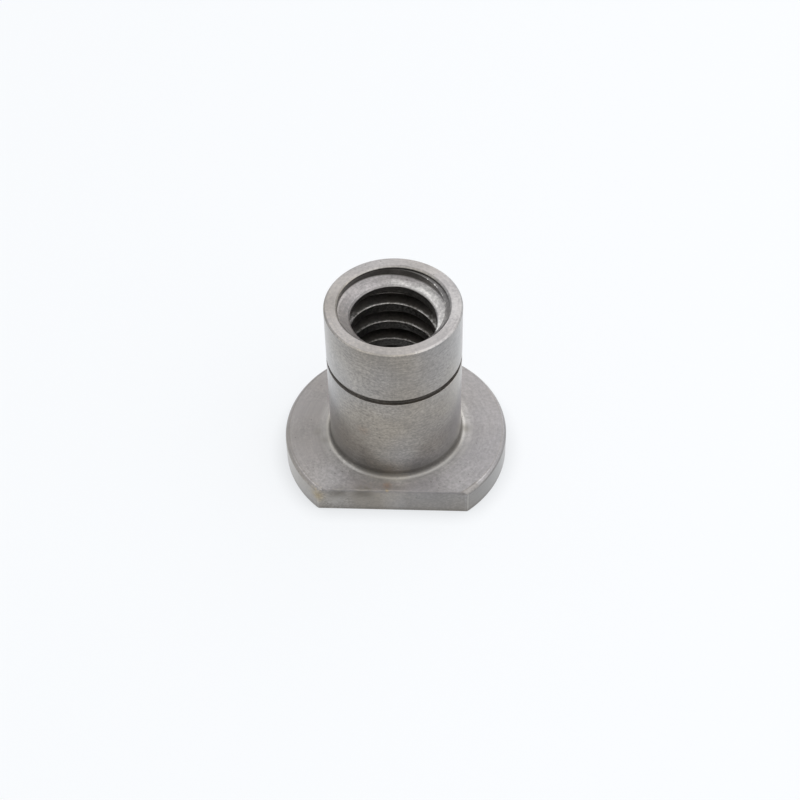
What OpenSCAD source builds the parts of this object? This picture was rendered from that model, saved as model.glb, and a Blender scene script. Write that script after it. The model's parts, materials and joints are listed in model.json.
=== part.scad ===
// Lifting nut: a turned steel nut for a lifting screw.
// A round flange with one flat carries a plain barrel with a ring groove,
// and a coarse right-hand trapezoidal thread runs through both.
// The underside of the flange lies on Z = 0, the thread's axis is Z,
// and the flat faces -Y.

/* [Barrel] */
// Outside diameter of the barrel
barrel_d = 27; // [25:0.5:32]
// Height from the underside of the flange to the top face
overall_h = 41.7; // [34:0.1:70]
// Edge break round the outside of the top face
top_break = 0.35; // [0.1:0.05:0.8]

/* [Flange] */
// Diameter of the round part of the flange
flange_d = 46; // [42:0.5:70]
// Thickness of the flange
flange_t = 6.2; // [4:0.1:12]
// Bevel round the top edge of the flange
flange_bevel = 0.7; // [0.2:0.05:1.5]
// Edge break round the bottom edge of the flange
foot_break = 0.2; // [0.1:0.05:1]
// Distance from the axis to the flat that keys the flange
flat_offset = 17.2; // [16:0.1:20]
// Radius in the corner between the barrel and the flange
corner_r = 1.1; // [0.4:0.1:2.4]

/* [Ring groove] */
// Width of the groove for a retaining ring
groove_w = 1.3; // [0.8:0.1:3]
// Depth of the groove below the barrel's surface
groove_depth = 0.7; // [0.3:0.1:1.2]
// Distance from the top face down to the groove's upper edge
groove_drop = 12.6; // [4:0.1:25]

/* [Thread] */
// Diameter over the thread's roots
thread_major_d = 21.8; // [20:0.1:23.5]
// Diameter between the thread's crests
thread_minor_d = 17; // [15:0.1:20]
// Pitch of the single-start thread
thread_pitch = 5; // [4:0.5:8]
// Width of the land along the crest
land_w = 2.1; // [1:0.1:2.8]
// Slope of each flank from square to the axis, in degrees
flank_angle = 15; // [5:1:25]
// Direction in which the groove's middle leaves the top face, in degrees from +X
thread_clock = 200; // [0:1:359]

/* [Mouth] */
// Bevel round the inner edge of the top face
mouth_bevel = 0.4; // [0.1:0.05:1]
// Height of the plain wall between the bevel and the lead-in cone
mouth_wall = 0.45; // [0.1:0.05:2]
// How far the plain wall stands outside the thread's roots
mouth_clear = 0.05; // [0.05:0.05:0.5]
// How far the countersink in the underside opens past the thread's roots
foot_lead = 0.4; // [0.1:0.05:1.5]

/* [Hidden] */

steel = "#8f8c88";
// How far a cut runs past the surface it leaves
overrun = 0.5;
round_sides = 120;
sides_per_turn = 48;
full_turn = 360;

barrel_r = barrel_d / 2;
flange_r = flange_d / 2;
major_r = thread_major_d / 2;
minor_r = thread_minor_d / 2;
thread_depth = major_r - minor_r;
mouth_r = major_r + mouth_clear;
foot_r = major_r + foot_lead;

// Both lead-in cones stand at 45 degrees, so each rises as far as it widens
cone_top = overall_h - mouth_bevel - mouth_wall;
cone_foot = cone_top - (mouth_r - minor_r);
countersink_depth = foot_r - minor_r;

groove_top = overall_h - groove_drop;
groove_foot = groove_top - groove_w;

// The thread's groove is a trapezoid, drawn on past the crests into the open bore
flank_slope = tan(flank_angle);
crest_half_w = (thread_pitch - land_w) / 2;
root_half_w = crest_half_w - thread_depth * flank_slope;
cutter_half_w = crest_half_w + overrun * flank_slope;
cutter_r = minor_r - overrun;
groove_section = [
    [cutter_r, -cutter_half_w],
    [major_r, -root_half_w],
    [major_r, root_half_w],
    [cutter_r, cutter_half_w],
];
section_points = len(groove_section);

// Whole turns of groove below the top face, and the half turn that carries it out above
turns_below = ceil((overall_h + cutter_half_w) / thread_pitch);
steps_below = turns_below * sides_per_turn;
steps_above = sides_per_turn / 2;
sections = steps_below + steps_above + 1;

// Height of the groove's middle above the underside, a number of steps past its way out
function groove_z(step) = overall_h + thread_pitch * step / sides_per_turn;

// The groove's outline, turned and lifted to its place on the helix
function groove_ring(step) =
    let (bearing = thread_clock + full_turn * step / sides_per_turn)
    [for (p = groove_section)
        [p[0] * cos(bearing), p[0] * sin(bearing), groove_z(step) + p[1]]];

// The two triangles between neighbouring sections, on one side of the outline
function side_faces(section, corner) =
    let (
        next_corner = (corner + 1) % section_points,
        near = section * section_points,
        far = near + section_points
    )
    [
        [near + corner, near + next_corner, far + next_corner],
        [near + corner, far + next_corner, far + corner],
    ];

// Half of the turned body, cut through its axis
module half_section() {
    difference() {
        polygon([
            [minor_r, countersink_depth],
            [minor_r, cone_foot],
            [mouth_r, cone_top],
            [mouth_r, overall_h - mouth_bevel],
            [mouth_r + mouth_bevel, overall_h],
            [barrel_r - top_break, overall_h],
            [barrel_r, overall_h - top_break],
            [barrel_r, groove_top],
            [barrel_r - groove_depth, groove_top],
            [barrel_r - groove_depth, groove_foot],
            [barrel_r, groove_foot],
            [barrel_r, flange_t + corner_r],
            [barrel_r + corner_r, flange_t],
            [flange_r - flange_bevel, flange_t],
            [flange_r, flange_t - flange_bevel],
            [flange_r, foot_break],
            [flange_r - foot_break, 0],
            [foot_r, 0],
        ]);
        translate([barrel_r + corner_r, flange_t + corner_r])
            circle(r = corner_r, $fn = round_sides);
    }
}

// What the flat takes off one side of the flange
module flat_cut() {
    translate([-flange_r - overrun, -flange_r - overrun, -overrun])
        cube([
            flange_d + 2 * overrun,
            flange_r - flat_offset + overrun,
            flange_t + 2 * overrun,
        ]);
}

// The helical groove that leaves the thread standing in the bore
module thread_groove() {
    rings = [for (step = [-steps_below : steps_above]) groove_ring(step)];
    sides = [
        for (section = [0 : sections - 2])
            for (corner = [0 : section_points - 1])
                each side_faces(section, corner)
    ];
    last = (sections - 1) * section_points;
    first_cap = [[3, 2, 1], [3, 1, 0]];
    last_cap = [[last, last + 1, last + 2], [last, last + 2, last + 3]];
    polyhedron(
        points = [for (ring = rings) each ring],
        faces = concat(first_cap, sides, last_cap)
    );
}

module lifting_nut() {
    color(steel)
        difference() {
            rotate_extrude($fn = round_sides) half_section();
            flat_cut();
            thread_groove();
        }
}

lifting_nut();
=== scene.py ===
"""Dress the lifting nut as one turned piece of bare steel, on a pale studio floor."""

import json
import logging
import math
from collections.abc import Mapping, Sequence
from dataclasses import dataclass
from enum import Enum

import bmesh
import bpy
from mathutils import Matrix, Vector


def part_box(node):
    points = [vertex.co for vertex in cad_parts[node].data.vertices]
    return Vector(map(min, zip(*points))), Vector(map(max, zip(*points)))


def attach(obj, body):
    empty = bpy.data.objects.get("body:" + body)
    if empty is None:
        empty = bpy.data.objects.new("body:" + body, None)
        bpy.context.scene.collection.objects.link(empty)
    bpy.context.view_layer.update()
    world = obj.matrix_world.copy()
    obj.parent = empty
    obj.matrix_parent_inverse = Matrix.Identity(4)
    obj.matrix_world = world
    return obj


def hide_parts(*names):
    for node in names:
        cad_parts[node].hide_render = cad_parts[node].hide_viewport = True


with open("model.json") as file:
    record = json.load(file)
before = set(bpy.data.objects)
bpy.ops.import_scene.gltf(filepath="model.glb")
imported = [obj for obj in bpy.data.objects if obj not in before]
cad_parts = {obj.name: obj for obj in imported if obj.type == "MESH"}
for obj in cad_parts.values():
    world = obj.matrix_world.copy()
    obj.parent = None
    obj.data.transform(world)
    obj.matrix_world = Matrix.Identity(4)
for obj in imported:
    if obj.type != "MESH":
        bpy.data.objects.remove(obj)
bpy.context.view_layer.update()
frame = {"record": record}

LOG = logging.getLogger("lifting_nut")
NODE = "lifting_nut"
BODY = "root"
MM = 0.001
IMAGE_PX = 800
SENSOR_MM = 36.0
FULL_TURN_DEG = 360.0
ARC_STEP_MM = 0.15
LEAST_ARC_STEPS = 3
# A point with this many edges only lies along a line, and a face with more corners may fold
EDGES_ON_A_LINE = 2
MOST_CORNERS = 4
# How far the ragged noise goes to each side of one, and the part of that over which patches fade
RAGGED_SWING = 0.4
PATCH_SWING = 0.2
# The sockets of a Mix node by number, because several of them share a name
FACTOR, NUMBER_A, NUMBER_B, COLOUR_A, COLOUR_B = 0, 2, 3, 6, 7
NUMBER_OUT, COLOUR_OUT = 0, 2


def linear(hex_colour: str) -> tuple[float, float, float, float]:
    """Turn an sRGB hex colour into linear RGBA.

    Args:
        hex_colour: A colour such as "#8f8c88".

    Returns:
        The linear red, green and blue, and an alpha of one.
    """
    shares = [int(hex_colour[i:i + 2], 16) / 255 for i in (1, 3, 5)]
    # The steps of the sRGB standard
    red, green, blue = (s / 12.92 if s <= 0.04045 else ((s + 0.055) / 1.055) ** 2.4 for s in shares)
    return red, green, blue, 1.0


def add(
    tree: bpy.types.NodeTree,
    kind: str,
    inputs: Mapping[str | int, object] | None = None,
    **settings: object,
) -> bpy.types.Node:
    """Add a node to a tree, with its settings, values and links.

    Args:
        tree: The shader or geometry tree.
        kind: The node's type name.
        inputs: A value, or an output socket to link from, for each input's name or number.
        **settings: The node's own properties.

    Returns:
        The new node.
    """
    node = tree.nodes.new(kind)
    for name, value in settings.items():
        setattr(node, name, value)
    for key, value in (inputs or {}).items():
        if isinstance(value, bpy.types.NodeSocket):
            tree.links.new(value, node.inputs[key])
        else:
            node.inputs[key].default_value = value
    return node


def direction(azimuth_deg: float, elevation_deg: float) -> Vector:
    """Point from the nut towards a place round it.

    Args:
        azimuth_deg: Degrees round from the -Y side towards +X.
        elevation_deg: Degrees above the floor.

    Returns:
        A unit vector.
    """
    azimuth, elevation = math.radians(azimuth_deg), math.radians(elevation_deg)
    level = math.cos(elevation)
    return Vector((math.sin(azimuth) * level, -math.cos(azimuth) * level, math.sin(elevation)))


@dataclass(frozen=True)
class Corner:
    """A corner of a closed outline, in millimetres, with the radius that eases it."""

    x: float
    y: float
    ease: float = 0.0

    @property
    def place(self) -> Vector:
        """The corner as a flat vector."""
        return Vector((self.x, self.y))


def eased(corners: Sequence[Corner]) -> list[Vector]:
    """Round off the eased corners of a closed outline.

    Args:
        corners: The outline's corners in order.

    Returns:
        The outline's points in order, in millimetres.
    """
    points: list[Vector] = []
    for index, corner in enumerate(corners):
        if corner.ease == 0:
            points.append(corner.place)
            continue
        back = (corners[index - 1].place - corner.place).normalized()
        ahead = (corners[(index + 1) % len(corners)].place - corner.place).normalized()
        half_angle = back.angle(ahead) / 2
        run = corner.ease / math.tan(half_angle)
        centre = corner.place + (back + ahead).normalized() * (corner.ease / math.sin(half_angle))
        arm = corner.place + back * run - centre
        turn = arm.angle_signed(corner.place + ahead * run - centre)
        steps = max(LEAST_ARC_STEPS, math.ceil(corner.ease * abs(turn) / ARC_STEP_MM))
        points += [
            centre + Matrix.Rotation(-turn * step / steps, 2) @ arm for step in range(steps + 1)
        ]
    return points


@dataclass(frozen=True)
class NutSizes:
    """The nut's sizes in millimetres: those that the frame states, then its thread and its edges."""

    height: float
    flange_r: float
    flange_t: float
    flat_y: float
    barrel_r: float
    crest_r: float
    root_r: float = 10.9
    pitch: float = 5.0
    land_w: float = 2.1
    flank_deg: float = 15.0
    clock_deg: float = 200.0
    top_break: float = 0.35
    mouth_bevel: float = 0.4
    mouth_wall: float = 0.45
    mouth_clear: float = 0.01
    foot_lead: float = 0.4
    corner_r: float = 1.1
    flange_bevel: float = 0.7
    foot_break: float = 0.2
    ring_groove_w: float = 1.3
    ring_groove_depth: float = 0.7
    ring_groove_drop: float = 12.6

    @classmethod
    def from_frame(cls) -> "NutSizes":
        """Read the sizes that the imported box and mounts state.

        Returns:
            The nut's sizes.
        """
        low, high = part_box(NODE)
        mounts = {mount["name"]: mount for mount in frame["record"]["mounts"]}
        return cls(
            height=round(high.z / MM, 2),
            flange_r=round(max(high.x, high.y) / MM, 2),
            flange_t=mounts["shoulder"]["pos_m"][2] / MM,
            flat_y=round(low.y / MM, 2),
            barrel_r=mounts["barrel"]["dims"]["r_mm"],
            crest_r=mounts["lead_thread"]["dims"]["r_mm"],
        )

    @property
    def mouth_r(self) -> float:
        """Radius of the plain wall at the mouth."""
        return self.root_r + self.mouth_clear

    @property
    def ring_groove_top(self) -> float:
        """Height of the ring groove's upper edge."""
        return self.height - self.ring_groove_drop

    @property
    def ring_groove_foot(self) -> float:
        """Height of the ring groove's lower edge."""
        return self.ring_groove_top - self.ring_groove_w


def scene_object(name: str, data: bpy.types.ID) -> bpy.types.Object:
    """Link a mesh, curve, lamp or camera into the scene as an object at the origin.

    Args:
        name: The object's name.
        data: What it holds.

    Returns:
        The new object.
    """
    piece = bpy.data.objects.new(name, data)
    bpy.context.scene.collection.objects.link(piece)
    return piece


def closed_mesh(
    name: str, points: Sequence[Vector], faces: Sequence[Sequence[int]],
) -> bpy.types.Mesh:
    """Make a closed mesh with its faces outwards.

    Args:
        name: The mesh's name.
        points: Its points, in millimetres.
        faces: Each face's points by number.

    Returns:
        The mesh, in metres.
    """
    mesh = bpy.data.meshes.new(name)
    mesh.from_pydata([Vector(point) * MM for point in points], [], faces)
    work = bmesh.new()
    work.from_mesh(mesh)
    bmesh.ops.recalc_face_normals(work, faces=work.faces)
    work.to_mesh(mesh)
    work.free()
    return mesh


def prism(
    name: str, outline: Sequence[Vector], low: float, high: float, turn: Matrix,
) -> bpy.types.Mesh:
    """Pull a closed outline along its own Z.

    Args:
        name: The mesh's name.
        outline: The outline's points in order, in millimetres.
        low: Where the prism starts along its Z, in millimetres.
        high: Where it ends.
        turn: The turn from the outline's axes to the nut's.

    Returns:
        A closed mesh in metres.
    """
    count = len(outline)
    points = [turn @ Vector((p.x, p.y, z)) for z in (low, high) for p in outline]
    sides = [(i, (i + 1) % count, count + (i + 1) % count, count + i) for i in range(count)]
    return closed_mesh(name, points, [*sides, range(count), range(count, 2 * count)])


@dataclass(frozen=True)
class TurnedBlank:
    """The nut as it leaves the lathe, before its thread and its flat are cut."""

    sizes: NutSizes
    segments: int = 180
    edge_ease: float = 0.12
    lip_ease: float = 0.06
    flange_ease: float = 0.9

    def section(self) -> list[Vector]:
        """Work out half of the turned section, from the bore up and over to the foot.

        Returns:
            Points of distance from the axis and height, in millimetres.
        """
        s = self.sizes
        cone_top = s.height - s.mouth_bevel - s.mouth_wall
        foot_r = s.root_r + s.foot_lead
        ring_floor = s.barrel_r - s.ring_groove_depth
        return eased([
            Corner(s.crest_r, foot_r - s.crest_r),
            Corner(s.crest_r, cone_top - (s.mouth_r - s.crest_r)),
            Corner(s.mouth_r, cone_top),
            Corner(s.mouth_r, s.height - s.mouth_bevel, self.edge_ease),
            Corner(s.mouth_r + s.mouth_bevel, s.height, self.edge_ease),
            Corner(s.barrel_r - s.top_break, s.height, self.edge_ease),
            Corner(s.barrel_r, s.height - s.top_break, self.edge_ease),
            Corner(s.barrel_r, s.ring_groove_top, self.lip_ease),
            Corner(ring_floor, s.ring_groove_top, self.lip_ease),
            Corner(ring_floor, s.ring_groove_foot, self.lip_ease),
            Corner(s.barrel_r, s.ring_groove_foot, self.lip_ease),
            Corner(s.barrel_r, s.flange_t, s.corner_r),
            Corner(s.flange_r - s.flange_bevel, s.flange_t, self.flange_ease),
            Corner(s.flange_r, s.flange_t - s.flange_bevel, self.flange_ease),
            Corner(s.flange_r, s.foot_break, self.lip_ease),
            Corner(s.flange_r - s.foot_break, 0, self.lip_ease),
            Corner(foot_r, 0, self.lip_ease),
        ])

    def mesh(self) -> bpy.types.Mesh:
        """Turn the section round the axis.

        Its seams stand half a step away from the thread's own, so that the cut meets them evenly.

        Returns:
            A closed mesh in metres.
        """
        section = self.section()
        count = len(section)
        step = math.tau / self.segments
        start = math.radians(self.sizes.clock_deg) + step / 2
        points = [
            (p.x * math.cos(start + step * turn), p.x * math.sin(start + step * turn), p.y)
            for turn in range(self.segments)
            for p in section
        ]
        faces = [
            (here + low, here + high, there + high, there + low)
            for here, there in (
                (turn * count, (turn + 1) % self.segments * count) for turn in range(self.segments)
            )
            for low, high in ((i, (i + 1) % count) for i in range(count))
        ]
        return closed_mesh("turned_blank", points, faces)


@dataclass(frozen=True)
class Knock:
    """A dent where the nut was knocked, as a round scoop, in millimetres."""

    place: tuple[float, float, float]
    reach: tuple[float, float, float]


@dataclass(frozen=True)
class FlangeTools:
    """What is cut and knocked off the flange to leave its flat, with the flat's edges eased."""

    sizes: NutSizes
    reach: float = 8.0
    edge_ease: float = 0.14
    corner_cut: float = 0.08
    corner_block: float = 2.0
    knock_rings: int = 12

    def flat(self) -> bpy.types.Mesh:
        """Draw the flat's cut as an outline of Y and Z, pulled along X.

        Returns:
            A closed mesh in metres.
        """
        s = self.sizes
        lip = s.flat_y + self.edge_ease
        outline = eased([
            Corner(s.flat_y - self.reach, -self.reach),
            Corner(lip, -self.reach),
            Corner(lip, 0),
            Corner(s.flat_y, self.edge_ease, self.edge_ease / 2),
            Corner(s.flat_y, s.flange_t - self.edge_ease, self.edge_ease / 2),
            Corner(lip, s.flange_t),
            Corner(lip, s.flange_t + self.reach),
            Corner(s.flat_y - self.reach, s.flange_t + self.reach),
        ])
        across = Matrix(((0, 0, 1), (1, 0, 0), (0, 1, 0)))
        return prism("flat_cut", outline, -s.flange_r - self.reach, s.flange_r + self.reach, across)

    def corner(self, side: int) -> bpy.types.Mesh:
        """Draw the block that breaks the upright edge at one end of the flat.

        Args:
            side: 1 for the +X end of the flat, -1 for the other.

        Returns:
            A closed mesh in metres.
        """
        s = self.sizes
        edge = Vector((side * math.sqrt(s.flange_r ** 2 - s.flat_y ** 2), s.flat_y))
        outward = (Vector((0, -1)) + edge.normalized()).normalized()
        half = Vector((-outward.y, outward.x)) * self.corner_block
        near = edge - outward * self.corner_cut
        far = near + outward * self.corner_block
        outline = [near - half, near + half, far + half, far - half]
        top = s.flange_t + self.reach
        return prism("corner_cut", outline, -self.reach, top, Matrix.Identity(3))

    def knocks(self, dents: Sequence[Knock]) -> bpy.types.Mesh:
        """Draw the scoops of the knocks as one mesh.

        Args:
            dents: The knocks.

        Returns:
            A mesh of closed scoops, in metres.
        """
        mesh = bpy.data.meshes.new("knocks")
        work = bmesh.new()
        for dent in dents:
            place = Matrix.LocRotScale(Vector(dent.place) * MM, None, Vector(dent.reach) * MM)
            bmesh.ops.create_uvsphere(
                work, u_segments=2 * self.knock_rings, v_segments=self.knock_rings,
                radius=1, matrix=place,
            )
        work.to_mesh(mesh)
        work.free()
        return mesh


@dataclass(frozen=True)
class ThreadGroove:
    """The right-hand helical groove that leaves the thread standing in the bore."""

    sizes: NutSizes
    steps_per_turn: int = 180
    overrun: float = 0.4
    crest_break: float = 0.14
    crest_ease: float = 0.1
    root_ease: float = 0.25

    @property
    def turns(self) -> int:
        """Whole turns of groove that clear the nut at both ends."""
        return math.ceil(self.sizes.height / self.sizes.pitch) + 1

    def section_curve(self) -> bpy.types.Object:
        """Draw the groove's section about the crest line, X away from the axis and Y along it.

        Returns:
            A closed curve in metres.
        """
        s = self.sizes
        slope = math.tan(math.radians(s.flank_deg))
        depth = s.root_r - s.crest_r
        crest_half = (s.pitch - s.land_w) / 2
        break_half = crest_half - self.crest_break * slope
        upper = [
            Corner(depth, crest_half - depth * slope, self.root_ease),
            Corner(self.crest_break, break_half, self.crest_ease),
            Corner(-self.overrun, break_half + self.crest_break + self.overrun),
        ]
        lower = [Corner(c.x, -c.y, c.ease) for c in reversed(upper)]
        outline = eased([*upper, *lower])
        data = bpy.data.curves.new("groove_section", "CURVE")
        spline = data.splines.new("POLY")
        spline.points.add(len(outline) - 1)
        for point, corner in zip(spline.points, outline):
            point.co = (corner.x * MM, corner.y * MM, 0, 1)
        spline.use_cyclic_u = True
        return scene_object("groove_section", data)

    def tree(self, cuts: Sequence[str]) -> bpy.types.GeometryNodeTree:
        """Build the nodes that sweep the section up a helix and cut it and more from a blank.

        Args:
            cuts: The names of the inputs for the other cuts.

        Returns:
            The node tree, with a named input for each size and cut.
        """
        tree = bpy.data.node_groups.new("cut_thread", "GeometryNodeTree")
        sockets = {
            "Geometry": "NodeSocketGeometry",
            "Crest Radius": "NodeSocketFloat",
            "Pitch": "NodeSocketFloat",
            "Turns": "NodeSocketInt",
            "Steps per Turn": "NodeSocketInt",
            "Start": "NodeSocketVector",
            "Clock": "NodeSocketRotation",
            "Section": "NodeSocketObject",
            **{name: "NodeSocketObject" for name in cuts},
            "Finish": "NodeSocketMaterial",
        }
        for name, kind in sockets.items():
            tree.interface.new_socket(name, in_out="INPUT", socket_type=kind)
        tree.interface.new_socket("Geometry", in_out="OUTPUT", socket_type="NodeSocketGeometry")
        given = add(tree, "NodeGroupInput").outputs
        rise = add(tree, "ShaderNodeMath", {
            0: given["Pitch"], 1: given["Turns"],
        }, operation="MULTIPLY")
        helix = add(tree, "GeometryNodeCurveSpiral", {
            "Resolution": given["Steps per Turn"],
            "Rotations": given["Turns"],
            "Start Radius": given["Crest Radius"],
            "End Radius": given["Crest Radius"],
            "Height": rise.outputs[0],
            "Reverse": True,
        })
        upright = add(tree, "GeometryNodeSetCurveNormal", {"Curve": helix.outputs[0]}, mode="Z_UP")
        section = add(tree, "GeometryNodeObjectInfo", {"Object": given["Section"]})
        sweep = add(tree, "GeometryNodeCurveToMesh", {
            "Curve": upright.outputs[0],
            "Profile Curve": section.outputs["Geometry"],
            "Fill Caps": True,
        })
        groove = add(tree, "GeometryNodeTransform", {
            "Geometry": sweep.outputs[0],
            "Translation": given["Start"],
            "Rotation": given["Clock"],
        })
        cut = add(tree, "GeometryNodeMeshBoolean", {
            "Mesh 1": given["Geometry"], "Mesh 2": groove.outputs[0],
        }, operation="DIFFERENCE", solver="EXACT")
        for name in cuts:
            tool = add(tree, "GeometryNodeObjectInfo", {"Object": given[name]})
            tree.links.new(tool.outputs["Geometry"], cut.inputs["Mesh 2"])
        smooth = add(tree, "GeometryNodeSetShadeSmooth", {"Geometry": cut.outputs["Mesh"]})
        plain = add(tree, "GeometryNodeRealizeInstances", {"Geometry": smooth.outputs[0]})
        finish = add(tree, "GeometryNodeSetMaterial", {
            "Geometry": plain.outputs[0], "Material": given["Finish"],
        })
        add(tree, "NodeGroupOutput", {"Geometry": finish.outputs[0]})
        return tree


def set_inputs(modifier: bpy.types.NodesModifier, values: Mapping[str, object]) -> None:
    """Set a node modifier's inputs by the identifiers behind their names.

    Args:
        modifier: The modifier, with its tree.
        values: A value for each input's name.
    """
    for item in modifier.node_group.interface.items_tree:
        if item.in_out == "INPUT" and item.name in values:
            modifier[item.identifier] = values[item.name]


class Mark(Enum):
    """What use has left on the steel, and the shade and highlights painted on it, by the colour that
    each has.
    """

    RUST = "#836044"
    OCHRE = "#98865f"
    # Real stains, and painted shade on sides, corners and edges
    STAIN_AND_SHADE = "#5b554b"
    # Painted shade in the bore, at the mouth and at the barrel's foot
    PAINTED_SHADE = "#2a2622"
    # Dirt in the pits, and dirt with painted shade in the ring groove
    GRIME_AND_SHADE = "#241c16"
    SCALE = "#8a8687"
    # A paler tone in places, and painted highlights, glints and reflections
    PALE_AND_HIGHLIGHT = "#dcdad6"


@dataclass(frozen=True)
class Place:
    """The sockets that tell where on the nut a point lies.

    The section holds the point's distance from the axis as X and its height as Z.
    """

    coords: bpy.types.NodeSocket
    radius: bpy.types.NodeSocket
    height: bpy.types.NodeSocket
    section: bpy.types.NodeSocket
    outward: bpy.types.NodeSocket

    @classmethod
    def find(cls, tree: bpy.types.NodeTree) -> "Place":
        """Add the nodes that find a point's place about the axis.

        Args:
            tree: The shader tree.

        Returns:
            The sockets.
        """
        coords = add(tree, "ShaderNodeTexCoord").outputs["Object"]
        axes = add(tree, "ShaderNodeSeparateXYZ", {0: coords}).outputs
        level = add(tree, "ShaderNodeCombineXYZ", {"X": axes["X"], "Y": axes["Y"]}).outputs[0]
        radius = add(tree, "ShaderNodeVectorMath", {0: level}, operation="LENGTH").outputs["Value"]
        section = add(tree, "ShaderNodeCombineXYZ", {"X": radius, "Z": axes["Z"]})
        outward = add(tree, "ShaderNodeVectorMath", {0: level}, operation="NORMALIZE")
        return cls(coords, radius, axes["Z"], section.outputs[0], outward.outputs[0])


@dataclass(frozen=True)
class Spot:
    """A ragged mark about one point of the surface, in millimetres."""

    mark: Mark
    place: tuple[float, float, float]
    reach: float
    strength: float
    roughness: float = 0.6

    def mask(
        self, tree: bpy.types.NodeTree, at: Place, ragged: bpy.types.NodeSocket,
    ) -> bpy.types.NodeSocket:
        """Add the nodes that tell how far the mark covers a place.

        Args:
            tree: The shader tree.
            at: The place.
            ragged: A noise about one, which makes the mark's edge uneven.

        Returns:
            The mark's cover.
        """
        away = add(tree, "ShaderNodeVectorMath", {
            0: at.coords, 1: Vector(self.place) * MM,
        }, operation="DISTANCE")
        edge = add(tree, "ShaderNodeMath", {0: ragged, 1: self.reach * MM}, operation="MULTIPLY")
        return add(tree, "ShaderNodeMapRange", {
            "Value": away.outputs["Value"],
            "From Min": edge.outputs[0], "From Max": 0.0, "To Min": 0.0, "To Max": self.strength,
        }, interpolation_type="SMOOTHSTEP").outputs[0]


@dataclass(frozen=True)
class Zone:
    """A mark over a span of distance from the axis and a span of height, in millimetres.

    It runs right round the nut, or as far as half its arc to each side of a bearing from +X, and it
    fades out over a length past its spans and by a factor past its arc.
    """

    mark: Mark
    radius: tuple[float, float]
    height: tuple[float, float]
    fade: float
    strength: float
    roughness: float
    patchy: float = 0.0
    bearing_deg: float = 0.0
    arc_deg: float = FULL_TURN_DEG
    arc_fade: float = 1.5

    def mask(
        self, tree: bpy.types.NodeTree, at: Place, ragged: bpy.types.NodeSocket,
    ) -> bpy.types.NodeSocket:
        """Add the nodes that tell how far the mark covers a place.

        Args:
            tree: The shader tree.
            at: The place.
            ragged: A noise about one, which breaks the mark into patches.

        Returns:
            The mark's cover.
        """
        middle = Vector((sum(self.radius) / 2, 0, sum(self.height) / 2)) * MM
        spans = Vector((self.radius[1] - self.radius[0], 0, self.height[1] - self.height[0]))
        off = add(tree, "ShaderNodeVectorMath", {0: at.section, 1: middle}, operation="SUBTRACT")
        size = add(tree, "ShaderNodeVectorMath", {0: off.outputs[0]}, operation="ABSOLUTE")
        past = add(tree, "ShaderNodeVectorMath", {
            0: size.outputs[0], 1: spans * (MM / 2),
        }, operation="SUBTRACT")
        sides = add(tree, "ShaderNodeSeparateXYZ", {0: past.outputs[0]}).outputs
        outside = add(tree, "ShaderNodeMath", {0: sides["X"], 1: sides["Z"]}, operation="MAXIMUM")
        whole = add(tree, "ShaderNodeMapRange", {
            "Value": outside.outputs[0],
            "From Min": self.fade * MM, "From Max": 0.0, "To Min": 0.0, "To Max": self.strength,
        }, interpolation_type="SMOOTHSTEP")
        patches = add(tree, "ShaderNodeMapRange", {
            "Value": ragged, "From Min": 1 - PATCH_SWING, "From Max": 1 + PATCH_SWING,
            "To Min": 1 - self.patchy, "To Max": 1.0,
        })
        cover = add(tree, "ShaderNodeMath", {
            0: whole.outputs[0], 1: patches.outputs[0],
        }, operation="MULTIPLY").outputs[0]
        if self.arc_deg >= FULL_TURN_DEG:
            return cover
        bearing = math.radians(self.bearing_deg)
        half_arc = math.radians(self.arc_deg / 2)
        facing = add(tree, "ShaderNodeVectorMath", {
            0: at.outward, 1: (math.cos(bearing), math.sin(bearing), 0),
        }, operation="DOT_PRODUCT")
        beside = add(tree, "ShaderNodeMapRange", {
            "Value": facing.outputs["Value"],
            "From Min": math.cos(half_arc * self.arc_fade), "From Max": math.cos(half_arc),
        })
        return add(tree, "ShaderNodeMath", {
            0: cover, 1: beside.outputs[0],
        }, operation="MULTIPLY").outputs[0]


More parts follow.
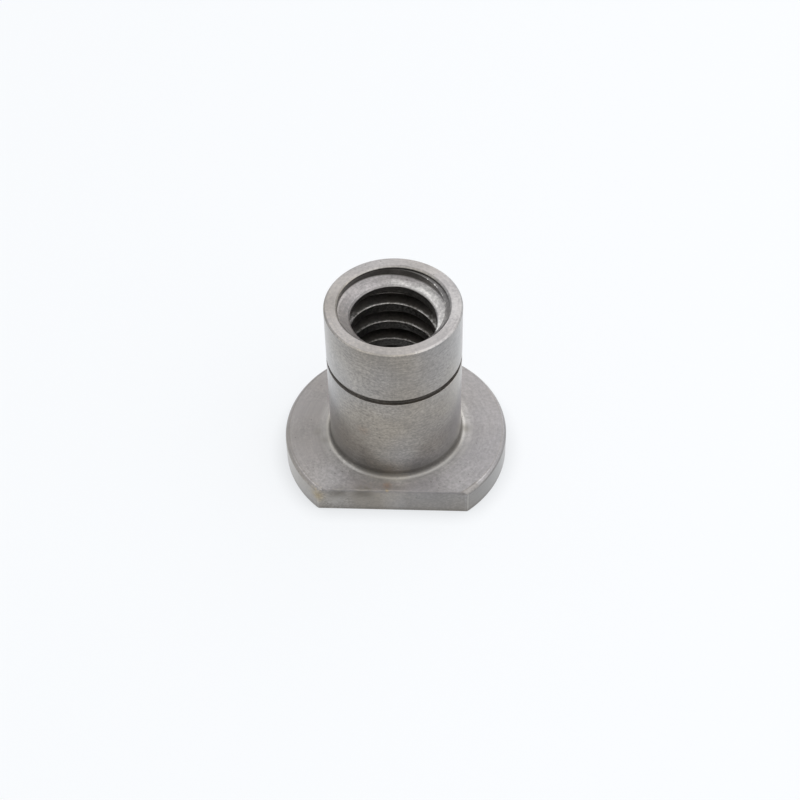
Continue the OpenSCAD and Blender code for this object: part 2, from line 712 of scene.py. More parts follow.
@dataclass(frozen=True)
class WearAndPaintedLight:
    """What use and dirt have left on the nut, and the shade and highlights painted on it."""

    sizes: NutSizes

    def marks(self) -> list[Spot | Zone]:
        """Gather the marks from the flange up, then the stained patches and broad painted light,
        then the pits and the painted glints.

        Returns:
            The marks, in the order that one lies on another.
        """
        return [
            *self.flange(), *self.flat(), *self.foot(), *self.mouth(), *self.thread(),
            *self.lead_in(), *self.ring_groove(), *self.stains_and_painted_light(), *self.flaws_and_glints(),
        ]

    def flange(self) -> list[Zone]:
        """Mark the flange, whose face is rough, with painted highlights and painted shade round its
        corner and along its edges.

        Returns:
            The zones in order.
        """
        s = self.sizes
        face = (s.flange_t - 0.2, s.flange_t + 0.1)
        edge = (s.flange_t - 0.4, s.flange_t + 0.1)
        return [
            Zone(
                Mark.SCALE, (s.barrel_r + s.corner_r + 0.3, s.flange_r - 0.6), edge,
                fade=0.7, strength=0.6, roughness=0.95,
            ),
            # A painted highlight lies round the corner radius, and most of all in front
            Zone(
                Mark.PALE_AND_HIGHLIGHT, (s.barrel_r + 0.9, s.barrel_r + 1.7), face,
                fade=1.2, strength=0.22, roughness=0.9, patchy=0.2,
            ),
            Zone(
                Mark.PALE_AND_HIGHLIGHT, (s.barrel_r + 0.8, s.barrel_r + 1.3), face,
                fade=0.5, strength=0.16, roughness=0.9, patchy=0.3, bearing_deg=250, arc_deg=110,
            ),
            # Painted shade on the upper part of the corner radius, to the front right
            Zone(
                Mark.STAIN_AND_SHADE, (s.barrel_r + 0.3, s.barrel_r + 0.8),
                (s.flange_t + 0.05, s.flange_t + 0.6),
                fade=0.3, strength=0.42, roughness=0.8, patchy=0.3, bearing_deg=295, arc_deg=84,
            ),
            # Painted highlights on the rolled edge to the left and right of the flat, and painted
            # shade by its right end
            *(
                Zone(
                    Mark.PALE_AND_HIGHLIGHT, (s.flange_r - 0.7, s.flange_r - 0.6), edge, fade=0.08,
                    strength=strength, roughness=0.4, patchy=0.6, bearing_deg=bearing, arc_deg=arc,
                )
                for bearing, arc, strength in ((217, 22, 0.16), (-36, 10, 0.14))
            ),
            Zone(
                Mark.STAIN_AND_SHADE, (s.flange_r - 1.0, s.flange_r - 0.2),
                (s.flange_t - 0.7, s.flange_t + 0.1),
                fade=0.1, strength=0.5, roughness=0.7, patchy=0.2, bearing_deg=-46, arc_deg=9,
            ),
            # Painted highlights on the upright edges at the flat's ends
            *(
                Zone(
                    Mark.PALE_AND_HIGHLIGHT, (s.flange_r - 0.1, s.flange_r), (0, s.flange_t - 0.5), fade=0.05,
                    strength=strength, roughness=0.4, patchy=0.2, bearing_deg=bearing, arc_deg=0.8,
                )
                for bearing, strength in ((-48.4, 0.35), (228.4, 0.2))
            ),
        ]

    def flat(self) -> list[Zone]:
        """Paint shade on the flat, darker along its top and bottom edges, and on the side to the
        right of it.

        Returns:
            The zones in order.
        """
        s = self.sizes
        middle = s.barrel_r + 3.6
        return [
            # Painted shade over the flat
            Zone(
                Mark.STAIN_AND_SHADE, (s.barrel_r + 4, s.flange_r - 0.5), (0.3, s.flange_t - 0.5),
                fade=0.3, strength=0.28, roughness=0.45,
            ),
            # Painted shade on the flat's top edge
            Zone(
                Mark.STAIN_AND_SHADE, (middle, s.flange_r - 0.7), (s.flange_t - 0.12, s.flange_t - 0.02),
                fade=0.02, strength=0.35, roughness=0.6,
            ),
            # A painted contact shadow along the flat's foot
            Zone(
                Mark.STAIN_AND_SHADE, (middle, s.flange_r), (0, 0.4),
                fade=1.0, strength=0.4, roughness=0.5,
            ),
            # Painted shade on the flange's side to the right of the flat
            Zone(
                Mark.STAIN_AND_SHADE, (s.flange_r - 0.1, s.flange_r), (0, s.flange_t - 0.6),
                fade=0.2, strength=0.4, roughness=0.45, patchy=0.2, bearing_deg=-25, arc_deg=60,
            ),
        ]

    def foot(self) -> list[Zone]:
        """Paint shade on the barrel's foot, darkest in the corner.

        Returns:
            The zones in order.
        """
        s = self.sizes
        corner = (s.barrel_r - 0.1, s.barrel_r + 0.2)
        wide_corner = (s.barrel_r - 0.1, s.barrel_r + 0.3)
        return [
            # Painted shade round the barrel's foot, darkest in the corner and to the front left and
            # front right
            Zone(
                Mark.STAIN_AND_SHADE, corner, (s.flange_t + 0.5, s.flange_t + 1.6),
                fade=0.4, strength=0.5, roughness=0.5, patchy=0.3,
            ),
            Zone(
                Mark.PAINTED_SHADE, wide_corner, (s.flange_t + 0.4, s.flange_t + 1.5),
                fade=0.6, strength=0.24, roughness=0.5, patchy=0.2,
            ),
            Zone(
                Mark.PAINTED_SHADE, (s.barrel_r + 0.1, s.barrel_r + 0.36),
                (s.flange_t + 0.28, s.flange_t + 0.65),
                fade=0.1, strength=0.4, roughness=0.6, patchy=0.1,
            ),
            *(
                Zone(
                    Mark.PAINTED_SHADE, corner, (s.flange_t + 0.5, s.flange_t + 1.5), fade=fade,
                    strength=0.4, roughness=0.45, patchy=0.2, bearing_deg=bearing, arc_deg=arc,
                )
                for bearing, arc, fade in ((225, 70, 3.5), (312, 50, 3.0))
            ),
            Zone(
                Mark.STAIN_AND_SHADE, wide_corner, (s.flange_t, s.flange_t + 2.5),
                fade=4.0, strength=0.18, roughness=0.42, patchy=0.2,
            ),
        ]

    def mouth(self) -> list[Zone]:
        """Mark the rim, which is cooler than the barrel, and the rough cone, and paint shade on the
        bevel round it.

        Returns:
            The zones in order.
        """
        s = self.sizes
        rim = (s.height - 0.1, s.height + 0.1)
        return [
            Zone(
                Mark.SCALE, (s.mouth_r + 0.3, s.barrel_r - 0.3), rim,
                fade=0.1, strength=0.6, roughness=0.42,
            ),
            Zone(
                Mark.STAIN_AND_SHADE, (s.mouth_r + 0.4, s.barrel_r - 0.3), rim,
                fade=0.2, strength=0.2, roughness=0.42, patchy=0.5,
            ),
            Zone(
                Mark.SCALE, (s.crest_r, s.mouth_r - 0.1), (s.height - 4, s.height - 0.9),
                fade=0.1, strength=0.75, roughness=0.75,
            ),
            # Painted shade on the inner bevel
            Zone(
                Mark.PAINTED_SHADE, (s.mouth_r + 0.02, s.mouth_r + 0.4), (s.height - 0.5, s.height - 0.05),
                fade=0.06, strength=0.24, roughness=0.5,
            ),
        ]

    def thread(self) -> list[Zone]:
        """Paint shade in the bore, and painted highlights on the thread's flanks and edges.

        Returns:
            The zones in order.
        """
        s = self.sizes
        shaded_top = s.height - 6.5
        return [
            # Painted shade deep in the bore
            Zone(
                Mark.PAINTED_SHADE, (0, s.root_r + 0.05), (0, shaded_top),
                fade=2.0, strength=0.76, roughness=0.5,
            ),
            # Painted highlights on the flanks, and a brighter one on the flank of the first turn
            *(
                Zone(
                    Mark.PALE_AND_HIGHLIGHT, (s.crest_r + 0.3, s.root_r - 0.4), (3.5, shaded_top), fade=0.3,
                    strength=strength, roughness=0.5, patchy=1.0, bearing_deg=bearing, arc_deg=arc,
                )
                for bearing, arc, strength in ((-15, 80, 0.32), (190, 60, 0.25))
            ),
            Zone(
                Mark.PALE_AND_HIGHLIGHT, (s.crest_r + 0.4, s.root_r - 0.3), (s.height - 4.2, s.height - 1.5),
                fade=0.2, strength=0.36, roughness=0.6, patchy=0.25, bearing_deg=18, arc_deg=70,
            ),
            # A painted highlight on the cone's band at the back
            Zone(
                Mark.PALE_AND_HIGHLIGHT, (s.crest_r + 0.4, s.crest_r + 0.7), (s.height - 3.1, s.height - 2.4),
                fade=1.0, strength=0.42, roughness=0.7, patchy=0.15, bearing_deg=62, arc_deg=56,
            ),
            # Painted shade on the lands, between painted highlights on the crest edges
            Zone(
                Mark.PAINTED_SHADE, (0, s.crest_r + 0.02), (0, s.height),
                fade=0.05, strength=0.64, roughness=0.5,
            ),
            *(
                Zone(
                    Mark.PALE_AND_HIGHLIGHT, (s.crest_r + 0.04, s.crest_r + 0.34), (0, s.height - 4.3),
                    fade=0.08, strength=strength, roughness=0.5, patchy=1.0,
                    bearing_deg=bearing, arc_deg=120,
                )
                for bearing, strength in ((0, 0.3), (140, 0.16))
            ),
        ]

    def lead_in(self) -> list[Zone]:
        """Paint shade where the thread starts, on its first lip, on the wall above it and under the
        feather edge.

        Returns:
            The zones in order.
        """
        s = self.sizes
        wall_radius = (s.root_r - 0.1, s.mouth_r + 0.03)
        wall_height = (s.height - 4, s.height - 0.4)
        return [
            # Painted shade on the first lip, the wall and under the feather edge
            Zone(
                Mark.PAINTED_SHADE, (0, s.crest_r + 0.28), (s.height - 4, s.height - 2.9),
                fade=0.1, strength=0.35, roughness=0.5,
            ),
            Zone(
                Mark.PAINTED_SHADE, wall_radius, wall_height,
                fade=0.1, strength=0.45, roughness=0.5,
            ),
            Zone(
                Mark.PAINTED_SHADE, wall_radius, wall_height,
                fade=0.1, strength=0.65, roughness=0.5, bearing_deg=112, arc_deg=90,
            ),
            Zone(
                Mark.PAINTED_SHADE, (s.root_r - 0.85, s.mouth_r), (s.height - 1.9, s.height - 0.5),
                fade=0.15, strength=0.6, roughness=0.5, patchy=0.2,
                bearing_deg=38, arc_deg=78, arc_fade=1.25,
            ),
        ]

    def ring_groove(self) -> list[Zone]:
        """Mark the ring groove dark brown, as dirt and painted shade in the recess.

        Returns:
            The zones in order.
        """
        s = self.sizes
        return [
            Zone(
                Mark.GRIME_AND_SHADE, (s.barrel_r - 1, s.barrel_r - 0.08),
                (s.ring_groove_foot - 0.1, s.ring_groove_top + 0.1),
                fade=0.06, strength=0.86, roughness=0.8, patchy=0.2,
            ),
        ]

    def stains_and_painted_light(self) -> list[Spot]:
        """Mark the rust, the stained patches, and broad tints with painted shade and highlights.

        Returns:
            The spots in order.
        """
        s = self.sizes
        return [
            # Rust and rubbed dirt on and beside the flat
            Spot(Mark.RUST, (-1.1, -15.9, s.flange_t), reach=1.3, strength=0.5),
            Spot(Mark.OCHRE, (-1.1, s.flat_y, s.flange_t - 0.1), reach=0.6, strength=0.6),
            Spot(Mark.OCHRE, (-15.5, -17.1, 4.2), reach=2.4, strength=0.75),
            Spot(Mark.PALE_AND_HIGHLIGHT, (-11.5, s.flat_y, 3.0), reach=4.0, strength=0.16),
            Spot(Mark.RUST, (-5.8, -12.2, 18.9), reach=2.0, strength=0.22),
            Spot(Mark.STAIN_AND_SHADE, (-5.2, s.flat_y, 5.1), reach=2.3, strength=0.7),
            Spot(Mark.STAIN_AND_SHADE, (-6.7, s.flat_y, 5.3), reach=2.3, strength=0.7),
            Spot(Mark.STAIN_AND_SHADE, (-10.6, s.flat_y, 5.2), reach=2.1, strength=0.7),
            Spot(Mark.STAIN_AND_SHADE, (-12.0, s.flat_y, 4.8), reach=2.1, strength=0.6),
            # Broad tints on the barrel and the flange, and painted shade and highlights on the
            # barrel, the flange and the rim
            Spot(Mark.OCHRE, (-2.0, -13.5, 19.0), reach=14.0, strength=0.08, roughness=0.38),
            Spot(Mark.OCHRE, (0.0, -16.0, s.flange_t), reach=7.0, strength=0.07, roughness=0.9),
            # Painted shade on the flange's left and back
            Spot(Mark.STAIN_AND_SHADE, (-18.5, -1.0, s.flange_t), reach=9.0, strength=0.24, roughness=0.9),
            Spot(Mark.STAIN_AND_SHADE, (-17.0, 9.0, s.flange_t), reach=8.0, strength=0.2, roughness=0.9),
            # Painted highlights on the flange's front left and front right
            Spot(Mark.PALE_AND_HIGHLIGHT, (-13.0, -13.5, s.flange_t), reach=6.0, strength=0.14, roughness=0.9),
            Spot(Mark.PALE_AND_HIGHLIGHT, (13.0, -13.5, s.flange_t), reach=6.0, strength=0.1, roughness=0.9),
            # Painted shade at the barrel's foot on the right
            Spot(Mark.STAIN_AND_SHADE, (12.5, -5.0, 9.0), reach=5.0, strength=0.35, roughness=0.42),
            # Painted shade on the rim's front and left, and a painted highlight on its right
            Spot(Mark.STAIN_AND_SHADE, (0.0, -12.2, s.height), reach=12.0, strength=0.2, roughness=0.45),
            Spot(Mark.STAIN_AND_SHADE, (-12.2, 0.0, s.height), reach=7.0, strength=0.3, roughness=0.45),
            Spot(Mark.PALE_AND_HIGHLIGHT, (12.2, 0.0, s.height), reach=7.0, strength=0.12, roughness=0.42),
            # A painted reflection on the barrel's upper left
            Spot(Mark.PALE_AND_HIGHLIGHT, (-9.9, -9.2, 31.0), reach=12.0, strength=0.14, roughness=0.4),
            Spot(Mark.OCHRE, (-10.5, -8.0, 34.0), reach=12.0, strength=0.1, roughness=0.38),
            # Dark spots on the flange, close to the barrel
            Spot(Mark.STAIN_AND_SHADE, (-14.5, -4.1, s.flange_t), reach=1.6, strength=0.4),
            Spot(Mark.STAIN_AND_SHADE, (-16.1, -1.9, s.flange_t), reach=1.6, strength=0.4),
            Spot(Mark.STAIN_AND_SHADE, (14.5, 0, s.flange_t + 0.4), reach=1.8, strength=0.7),
        ]

    def flaws_and_glints(self) -> list[Spot]:
        """Mark four dark pits, a painted glint on the rim's edge and painted glints along the burr
        of the feather edge.

        Returns:
            The spots in order.
        """
        s = self.sizes
        return [
            Spot(Mark.GRIME_AND_SHADE, (2.3, 9.9, 39.1), reach=0.35, strength=0.9),
            Spot(Mark.GRIME_AND_SHADE, (-11.15, -7.6, 16.8), reach=0.35, strength=0.7),
            Spot(Mark.GRIME_AND_SHADE, (-2.5, -13.3, 17.9), reach=0.35, strength=0.7),
            Spot(Mark.GRIME_AND_SHADE, (10.8, -8.1, 32.9), reach=0.35, strength=0.6),
            # A painted glint on the rim's front edge
            Spot(
                Mark.PALE_AND_HIGHLIGHT, (4.9, -12.5, s.height - 0.1),
                reach=0.45, strength=0.3, roughness=0.4,
            ),
            # Painted glints along the burr of the feather edge
            *(
                Spot(Mark.PALE_AND_HIGHLIGHT, self.burr(bearing), reach=reach, strength=0.8, roughness=0.4)
                for bearing, reach in (
                    (6, 0.24), (13, 0.3), (16, 0.2), (25, 0.36),
                    (28, 0.24), (38, 0.3), (42, 0.42), (53, 0.24),
                )
            ),
        ]

    def burr(self, bearing_deg: float) -> tuple[float, float, float]:
        """Find a point of the feather edge where the thread runs out through the cone.

        Args:
            bearing_deg: Degrees round from +X.

        Returns:
            The point, in millimetres.
        """
        s = self.sizes
        slope = math.tan(math.radians(s.flank_deg))
        cone_top = s.height - s.mouth_bevel - s.mouth_wall
        middle = s.height + s.pitch * (bearing_deg - s.clock_deg) / FULL_TURN_DEG
        flank_top = middle + (s.pitch - s.land_w) / 2 - (s.root_r - s.crest_r) * slope
        inward = (cone_top - flank_top) / (1 + slope)
        radius, bearing = s.mouth_r - inward, math.radians(bearing_deg)
        return radius * math.cos(bearing), radius * math.sin(bearing), cone_top - inward


@dataclass(frozen=True)
class Noises:
    """The sockets of the steel's patterns: four noises about a half, and a ragged one about one."""

    speckle: bpy.types.NodeSocket
    cloud: bpy.types.NodeSocket
    tint: bpy.types.NodeSocket
    streaks: bpy.types.NodeSocket
    ragged: bpy.types.NodeSocket


@dataclass(frozen=True)
class TumbledSteel:
    """Bare carbon steel, turned, then tumbled with stones and lightly oiled.

    Lengths are in millimetres. A band is the part of a noise that is stretched over a whole change,
    and a swing is how far that change goes to each side of one.
    """

    sizes: NutSizes
    warm: str = "#8c867e"
    cool: str = "#888686"
    pit: str = "#5b5752"
    roughness: float = 0.37
    roughness_spread: float = 0.1
    oil: float = 1.0
    oil_roughness: float = 0.3
    # Tumbling really leaves marks of a few hundredths of a millimetre, and the lathe's feed lines
    # lie about a tenth apart. Both are too fine to show in the render, so the speckle and the
    # streaks are drawn as coarse as they need to show.
    speckle_mm: float = 0.56
    speckle_flatness: float = 1.3
    speckle_detail: float = 2.0
    speckle_swing: float = 0.26
    grain_depth_mm: float = 0.016
    streak_mm: float = 0.36
    streak_length_mm: float = 4.0
    streak_detail: float = 2.0
    streak_swing: float = 0.11
    streak_depth_mm: float = 0.006
    cloud_mm: float = 6.0
    cloud_detail: float = 4.0
    cloud_swing: float = 0.11
    cloud_band: tuple[float, float] = (0.35, 0.65)
    tint_mm: float = 16.0
    tint_detail: float = 1.0
    tint_band: tuple[float, float] = (0.38, 0.62)
    noise_band: tuple[float, float] = (0.3, 0.7)
    noise_roughness: float = 0.6
    # The pits' edges are given as shares of their spacing
    pit_spacing_mm: float = 1.5
    pit_share: float = 0.22
    pit_edge: tuple[float, float] = (0.14, 0.08)
    pit_strength: float = 0.7
    flange_grain: float = 0.55
    flange_fade_mm: float = 1.0
    rim_grain: float = 0.75
    rim_depth_mm: tuple[float, float] = (0.2, 0.1)

    def noises(self, tree: bpy.types.NodeTree, at: Place) -> Noises:
        """Add the nodes of the steel's patterns.

        Args:
            tree: The shader tree.
            at: The place.

        Returns:
            The patterns.
        """
        flattened = add(tree, "ShaderNodeMapping", {
            "Vector": at.coords, "Scale": (1.0, 1.0, self.speckle_flatness),
        }).outputs[0]
        speckle, cloud, tint = (
            add(tree, "ShaderNodeTexNoise", {
                "Vector": place, "Scale": 1 / (size * MM),
                "Detail": detail, "Roughness": self.noise_roughness,
            }).outputs["Fac"]
            for place, size, detail in (
                (flattened, self.speckle_mm, self.speckle_detail),
                (at.coords, self.cloud_mm, self.cloud_detail),
                (at.coords, self.tint_mm, self.tint_detail),
            )
        )
        low, high = self.noise_band
        ragged = add(tree, "ShaderNodeMapRange", {
            "Value": speckle, "From Min": low, "From Max": high,
            "To Min": 1 - RAGGED_SWING, "To Max": 1 + RAGGED_SWING,
        })
        return Noises(speckle, cloud, tint, self.streaks(tree, at), ragged.outputs[0])

    def streaks(self, tree: bpy.types.NodeTree, at: Place) -> bpy.types.NodeSocket:
        """Add the nodes of the lathe's streaks, long round the axis and narrow across it.

        Args:
            tree: The shader tree.
            at: The place.

        Returns:
            The streaks' noise.
        """
        along = add(tree, "ShaderNodeVectorMath", {
            0: at.outward, "Scale": self.sizes.barrel_r / self.streak_length_mm,
        }, operation="SCALE")
        tool_path = add(tree, "ShaderNodeMath", {0: at.radius, 1: at.height}, operation="ADD")
        across = add(tree, "ShaderNodeMath", {
            0: tool_path.outputs[0], 1: 1 / (self.streak_mm * MM),
        }, operation="MULTIPLY")
        lift = add(tree, "ShaderNodeCombineXYZ", {"Z": across.outputs[0]})
        place = add(tree, "ShaderNodeVectorMath", {
            0: along.outputs[0], 1: lift.outputs[0],
        }, operation="ADD")
        return add(tree, "ShaderNodeTexNoise", {
            "Vector": place.outputs[0], "Scale": 1.0, "Detail": self.streak_detail,
        }).outputs["Fac"]

    def clean(
        self, tree: bpy.types.NodeTree, noises: Noises,
    ) -> tuple[bpy.types.NodeSocket, bpy.types.NodeSocket]:
        """Add the nodes of the clean steel, which drifts from warm to cool and from dull to bright.

        Args:
            tree: The shader tree.
            noises: The patterns.

        Returns:
            The colour and the roughness.
        """
        low, high = self.tint_band
        tint = add(tree, "ShaderNodeMapRange", {
            "Value": noises.tint, "From Min": low, "From Max": high,
        })
        colour = add(tree, "ShaderNodeMix", {
            FACTOR: tint.outputs[0], COLOUR_A: linear(self.warm), COLOUR_B: linear(self.cool),
        }, data_type="RGBA")
        low, high = self.noise_band
        roughness = add(tree, "ShaderNodeMapRange", {
            "Value": noises.cloud, "From Min": low, "From Max": high,
            "To Min": self.roughness - self.roughness_spread / 2,
            "To Max": self.roughness + self.roughness_spread / 2,
        })
        return colour.outputs[COLOUR_OUT], roughness.outputs[0]

    def under_rim(self, tree: bpy.types.NodeTree, at: Place) -> bpy.types.NodeSocket:
        """Add the nodes that tell the smoother rim from what lies under it.

        Args:
            tree: The shader tree.
            at: The place.

        Returns:
            The share of the grain that shows: one, and less on the rim.
        """
        low, high = ((self.sizes.height - depth) * MM for depth in self.rim_depth_mm)
        return add(tree, "ShaderNodeMapRange", {
            "Value": at.height, "From Min": low, "From Max": high,
            "To Min": 1.0, "To Max": self.rim_grain,
        }).outputs[0]

    def grained(
        self, tree: bpy.types.NodeTree, colour: bpy.types.NodeSocket, at: Place, noises: Noises,
        under_rim: bpy.types.NodeSocket,
    ) -> bpy.types.NodeSocket:
        """Add the nodes that lay the clouds, the speckle and the streaks over a colour.

        Args:
            tree: The shader tree.
            colour: The colour under the grain.
            at: The place.
            noises: The patterns.
            under_rim: The share of the grain that the rim leaves.

        Returns:
            The colour with its grain, fainter on the flange.
        """
        barrel_r = self.sizes.barrel_r
        on_barrel = add(tree, "ShaderNodeMapRange", {
            "Value": at.radius,
            "From Min": barrel_r * MM, "From Max": (barrel_r + self.flange_fade_mm) * MM,
            "To Min": 1.0, "To Max": self.flange_grain,
        })
        grain = add(tree, "ShaderNodeMath", {
            0: on_barrel.outputs[0], 1: under_rim,
        }, operation="MULTIPLY")
        for noise, (low, high), swing in (
            (noises.cloud, self.cloud_band, self.cloud_swing),
            (noises.speckle, self.noise_band, self.speckle_swing),
            (noises.streaks, self.noise_band, self.streak_swing),
        ):
            share = add(tree, "ShaderNodeMapRange", {
                "Value": noise, "From Min": low, "From Max": high,
                "To Min": 1 - swing, "To Max": 1 + swing,
            })
            colour = add(tree, "ShaderNodeMix", {
                FACTOR: grain.outputs[0], COLOUR_A: colour, COLOUR_B: share.outputs[0],
            }, data_type="RGBA", blend_type="MULTIPLY").outputs[COLOUR_OUT]
        return colour

    def pitted(
        self, tree: bpy.types.NodeTree, colour: bpy.types.NodeSocket, at: Place,
    ) -> bpy.types.NodeSocket:
        """Add the nodes that scatter small dark pits over a colour.

        Args:
            tree: The shader tree.
            colour: The colour between the pits.
            at: The place.

        Returns:
            The colour with its pits.
        """
        cells = add(tree, "ShaderNodeTexVoronoi", {
            "Vector": at.coords, "Scale": 1 / (self.pit_spacing_mm * MM),
        }).outputs
        chance = add(tree, "ShaderNodeSeparateColor", {0: cells["Color"]})
        chosen = add(tree, "ShaderNodeMath", {
            0: chance.outputs["Red"], 1: self.pit_share,
        }, operation="LESS_THAN")
        outer, inner = self.pit_edge
        inside = add(tree, "ShaderNodeMapRange", {
            "Value": cells["Distance"], "From Min": outer, "From Max": inner,
            "To Min": 0.0, "To Max": self.pit_strength,
        })
        cover = add(tree, "ShaderNodeMath", {
            0: inside.outputs[0], 1: chosen.outputs[0],
        }, operation="MULTIPLY")
        return add(tree, "ShaderNodeMix", {
            FACTOR: cover.outputs[0], COLOUR_A: colour, COLOUR_B: linear(self.pit),
        }, data_type="RGBA").outputs[COLOUR_OUT]

    def relief(
        self, tree: bpy.types.NodeTree, noises: Noises, under_rim: bpy.types.NodeSocket,
    ) -> bpy.types.NodeSocket:
        """Add the nodes of the fine relief that the lathe and the stones leave.

        Args:
            tree: The shader tree.
            noises: The patterns.
            under_rim: The share of the grain that the rim leaves.

        Returns:
            The normal.
        """
        turned = add(tree, "ShaderNodeBump", {
            "Height": noises.streaks, "Strength": 1.0, "Distance": self.streak_depth_mm * MM,
        })
        return add(tree, "ShaderNodeBump", {
            "Height": noises.speckle, "Strength": under_rim, "Distance": self.grain_depth_mm * MM,
            "Normal": turned.outputs[0],
        }).outputs[0]

    def material(self, marks: Sequence[Spot | Zone]) -> bpy.types.Material:
        """Build the finish.

        Args:
            marks: What use has left on it, and the painted shade and highlights, in the order that
                one lies on another.

        Returns:
            The material.
        """
        # To the eye, tumbled steel is a warm satin grey with a fine dark speckle over faint lathe
        # streaks, and the thin oil on it gives a second, softer sheen
        material = bpy.data.materials.new("tumbled_carbon_steel")
        material.use_nodes = True
        tree = material.node_tree
        tree.nodes.clear()
        at = Place.find(tree)
        noises = self.noises(tree, at)
        colour, roughness = self.clean(tree, noises)
        for mark in marks:
            cover = mark.mask(tree, at, noises.ragged)
            colour = add(tree, "ShaderNodeMix", {
                FACTOR: cover, COLOUR_A: colour, COLOUR_B: linear(mark.mark.value),
            }, data_type="RGBA").outputs[COLOUR_OUT]
            roughness = add(tree, "ShaderNodeMix", {
                FACTOR: cover, NUMBER_A: roughness, NUMBER_B: mark.roughness,
            }).outputs[NUMBER_OUT]
        under_rim = self.under_rim(tree, at)
        colour = self.grained(tree, colour, at, noises, under_rim)
        shader = add(tree, "ShaderNodeBsdfPrincipled", {
            "Base Color": self.pitted(tree, colour, at), "Metallic": 1.0, "Roughness": roughness,
            "Normal": self.relief(tree, noises, under_rim),
            "Coat Weight": self.oil, "Coat Roughness": self.oil_roughness,
        })
        add(tree, "ShaderNodeOutputMaterial", {"Surface": shader.outputs[0]})
        return material


@dataclass(frozen=True)
class LiftingNut:
    """The whole nut: its turned blank, its flat and its thread, in tumbled steel."""

    sizes: NutSizes
    sharp_deg: float = 27.0
    merge_mm: float = 0.001
    dents: tuple[Knock, ...] = (
        Knock(place=(-6.1, -17.6, 6.6), reach=(2.4, 0.8, 0.8)),
        Knock(place=(-10.6, -17.6, 6.6), reach=(2.0, 0.75, 0.75)),
    )

    def build(self) -> bpy.types.Object:
        """Cut the nut and turn it into a plain mesh.

        Returns:
            The nut, at the origin.
        """
        s = self.sizes
        flange = FlangeTools(s)
        groove = ThreadGroove(s)
        cuts = {
            "Flat Cut": scene_object("flat_cut", flange.flat()),
            "Left Corner Cut": scene_object("left_corner_cut", flange.corner(-1)),
            "Right Corner Cut": scene_object("right_corner_cut", flange.corner(1)),
            "Knocks": scene_object("knocks", flange.knocks(self.dents)),
        }
        section = groove.section_curve()
        nut = scene_object("lifting_nut_steel", TurnedBlank(s).mesh())
        cut = nut.modifiers.new("cut_thread", "NODES")
        cut.node_group = groove.tree(list(cuts))
        start = s.height + s.pitch / 2 - groove.turns * s.pitch
        set_inputs(cut, {
            "Crest Radius": s.crest_r * MM,
            "Pitch": s.pitch * MM,
            "Turns": groove.turns,
            "Steps per Turn": groove.steps_per_turn,
            "Start": (0.0, 0.0, start * MM),
            "Clock": (0.0, 0.0, math.radians(s.clock_deg) + math.pi),
            "Section": section,
            "Finish": TumbledSteel(s).material(WearAndPaintedLight(s).marks()),
            **cuts,
        })
        self.settle(nut)
        for tool in (*cuts.values(), section):
            bpy.data.objects.remove(tool)
        self.soften(nut)
        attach(nut, BODY)
        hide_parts(NODE)
        return nut

    def settle(self, nut: bpy.types.Object) -> None:
        """Replace the nut's modifiers by the mesh that they make.

        Args:
            nut: The nut, with its modifiers.
        """
        graph = bpy.context.evaluated_depsgraph_get()
        mesh = bpy.data.meshes.new_from_object(nut.evaluated_get(graph), depsgraph=graph)
        nut.modifiers.clear()
        nut.data = mesh

    def soften(self, nut: bpy.types.Object) -> None:
        """Join what the cuts left apart, and shade the faces smoothly between hard edges.

        Faces of many corners are split first, because those that the cuts leave can fold over.

        Args:
            nut: The nut, as a plain mesh.
        """
        work = bmesh.new()
        work.from_mesh(nut.data)
        bmesh.ops.remove_doubles(work, verts=work.verts, dist=self.merge_mm * MM)
        bmesh.ops.dissolve_degenerate(work, edges=work.edges, dist=self.merge_mm * MM)
        spare = [point for point in work.verts if len(point.link_edges) == EDGES_ON_A_LINE]
        bmesh.ops.dissolve_verts(work, verts=spare)
        many_sided = [face for face in work.faces if len(face.verts) > MOST_CORNERS]
        bmesh.ops.triangulate(
            work, faces=many_sided, quad_method="BEAUTY", ngon_method="BEAUTY",
        )
        work.to_mesh(nut.data)
        work.free()
        nut.data.set_sharp_from_angle(angle=math.radians(self.sharp_deg))
        even = nut.modifiers.new("even_normals", "WEIGHTED_NORMAL")
        even.keep_sharp = True
        self.settle(nut)


@dataclass(frozen=True)
class PhotoCamera:
    """The camera that the nut is seen through, aimed about the foot of its axis."""

    azimuth_deg: float = 3.04
    elevation_deg: float = 47.82
    roll_deg: float = 1.09
    distance_mm: float = 349.6
    aim_right_mm: float = 0.98
    aim_up_mm: float = 9.69
    focal_px: float = 1655.5
    near_m: float = 0.01

    def build(self) -> bpy.types.Object:
        """Make the camera and give it to the scene.

        Returns:
            The camera.
        """
        back = direction(self.azimuth_deg, self.elevation_deg)
        right = Vector((0, 0, 1)).cross(back).normalized()
        up = back.cross(right)
        place = (back * self.distance_mm + right * self.aim_right_mm + up * self.aim_up_mm) * MM
        level = Matrix((right, up, back)).transposed()
        rolled = level @ Matrix.Rotation(-math.radians(self.roll_deg), 3, "Z")
        data = bpy.data.cameras.new("photo_camera")
        data.sensor_width = SENSOR_MM
        data.lens = self.focal_px * SENSOR_MM / IMAGE_PX
        data.clip_start = self.near_m
        camera = scene_object("photo_camera", data)
        camera.matrix_world = Matrix.Translation(place) @ rolled.to_4x4()
        bpy.context.scene.camera = camera
        return camera


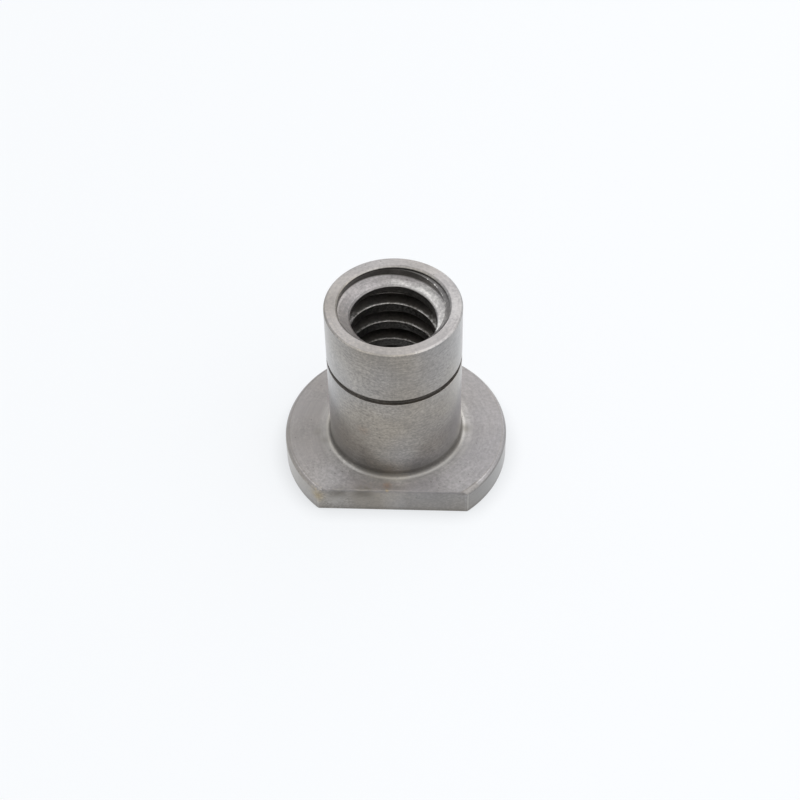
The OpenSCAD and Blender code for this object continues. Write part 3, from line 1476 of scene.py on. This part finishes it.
@dataclass(frozen=True)
class Softbox:
    """A square soft lamp that faces the nut."""

    name: str
    azimuth_deg: float
    elevation_deg: float
    distance_m: float
    side_m: float
    radiance: float

    def build(self, aim: Vector) -> bpy.types.Object:
        """Hang the lamp.

        Args:
            aim: The point that it faces, in metres.

        Returns:
            The lamp.
        """
        back = direction(self.azimuth_deg, self.elevation_deg)
        data = bpy.data.lights.new(self.name, "AREA")
        data.shape = "SQUARE"
        data.size = self.side_m
        data.energy = self.radiance * math.pi * self.side_m ** 2
        lamp = scene_object(self.name, data)
        lamp.location = aim + back * self.distance_m
        lamp.rotation_euler = back.to_track_quat("Z", "Y").to_euler()
        lamp.visible_camera = False
        return lamp


@dataclass(frozen=True)
class Studio:
    """A pale floor in soft light, white to the camera and in reflections."""

    floor_hex: str = "#f2f4f8"
    white_hex: str = "#fbfdff"
    floor_side_m: float = 6.0
    floor_drop_mm: float = 0.02
    floor_glow: float = 0.82
    contact_mm: float = 4.0
    contact_shade: float = 0.3
    sky_strength: float = 0.12
    lamps: tuple[Softbox, ...] = (
        Softbox(
            "overhead_scrim", azimuth_deg=0.0, elevation_deg=90.0,
            distance_m=0.7, side_m=2.2, radiance=0.85,
        ),
        Softbox(
            "right_softbox", azimuth_deg=70.0, elevation_deg=40.0,
            distance_m=0.7, side_m=0.9, radiance=1.1,
        ),
        Softbox(
            "rear_softbox", azimuth_deg=150.0, elevation_deg=25.0,
            distance_m=0.7, side_m=0.6, radiance=0.8,
        ),
    )

    def shown(self, tree: bpy.types.NodeTree) -> bpy.types.NodeSocket:
        """Add nodes that tell rays which show the studio from rays that light by it.

        Args:
            tree: The shader tree.

        Returns:
            One for rays from the camera, a reflection or a refraction, and zero for others.
        """
        rays = add(tree, "ShaderNodeLightPath").outputs
        share = rays["Is Camera Ray"]
        for name in ("Is Glossy Ray", "Is Transmission Ray"):
            share = add(tree, "ShaderNodeMath", {
                0: share, 1: rays[name],
            }, operation="MAXIMUM").outputs[0]
        return share

    def sky(self) -> None:
        """Make the world white where it is seen and dimmer where it lights."""
        world = bpy.data.worlds.new("white_tent")
        world.use_nodes = True
        tree = world.node_tree
        tree.nodes.clear()
        strength = add(tree, "ShaderNodeMapRange", {
            "Value": self.shown(tree), "To Min": self.sky_strength, "To Max": 1.0,
        })
        glow = add(tree, "ShaderNodeBackground", {
            "Color": linear(self.white_hex), "Strength": strength.outputs[0],
        })
        add(tree, "ShaderNodeOutputWorld", {"Surface": glow.outputs[0]})
        bpy.context.scene.world = world

    def floor(self) -> bpy.types.Object:
        """Lay the floor, a white sheet that keeps the nut's shadow.

        Returns:
            The floor.
        """
        # Matt paper has no sheen, so it shows nothing but the shadow
        material = bpy.data.materials.new("matt_white_paper")
        material.use_nodes = True
        tree = material.node_tree
        tree.nodes.clear()
        paper = add(tree, "ShaderNodeBsdfDiffuse", {"Color": linear(self.floor_hex)})
        # Less of the studio's light gets in close beside the nut
        open_share = add(tree, "ShaderNodeAmbientOcclusion", {"Distance": self.contact_mm * MM})
        light = add(tree, "ShaderNodeMapRange", {
            "Value": open_share.outputs["AO"], "To Min": 1 - self.contact_shade, "To Max": 1.0,
        })
        glow = add(tree, "ShaderNodeEmission", {
            "Color": linear(self.white_hex), "Strength": light.outputs[0],
        })
        share = add(tree, "ShaderNodeMath", {
            0: self.shown(tree), 1: self.floor_glow,
        }, operation="MULTIPLY")
        sheet = add(tree, "ShaderNodeMixShader", {
            0: share.outputs[0], 1: paper.outputs[0], 2: glow.outputs[0],
        })
        add(tree, "ShaderNodeOutputMaterial", {"Surface": sheet.outputs[0]})
        half, drop = self.floor_side_m / 2, -self.floor_drop_mm * MM
        corners = [
            (-half, -half, drop), (half, -half, drop), (half, half, drop), (-half, half, drop),
        ]
        mesh = bpy.data.meshes.new("floor")
        mesh.from_pydata(corners, [], [range(len(corners))])
        mesh.materials.append(material)
        floor = scene_object("floor", mesh)
        return floor

    def build(self, aim: Vector) -> None:
        """Set up the sky, the floor and the lamps.

        Args:
            aim: The point that the lamps face, in metres.
        """
        bpy.context.scene.view_settings.view_transform = "Standard"
        self.sky()
        self.floor()
        for lamp in self.lamps:
            lamp.build(aim)


def main() -> None:
    """Build the camera, the studio and the nut, and report each."""
    logging.basicConfig(level=logging.INFO, format="%(name)s: %(message)s")
    sizes = NutSizes.from_frame()
    camera = PhotoCamera().build()
    LOG.info("%s has a lens of %.1f mm", camera.name, camera.data.lens)
    studio = Studio()
    studio.build(Vector((0, 0, sizes.height / 2)) * MM)
    LOG.info("studio has %d lamps", len(studio.lamps))
    nut = LiftingNut(sizes).build()
    triangles = sum(len(face.vertices) - 2 for face in nut.data.polygons)
    LOG.info("%s has %d faces, %d triangles", nut.name, len(nut.data.polygons), triangles)


if __name__ == "__main__":
    main()
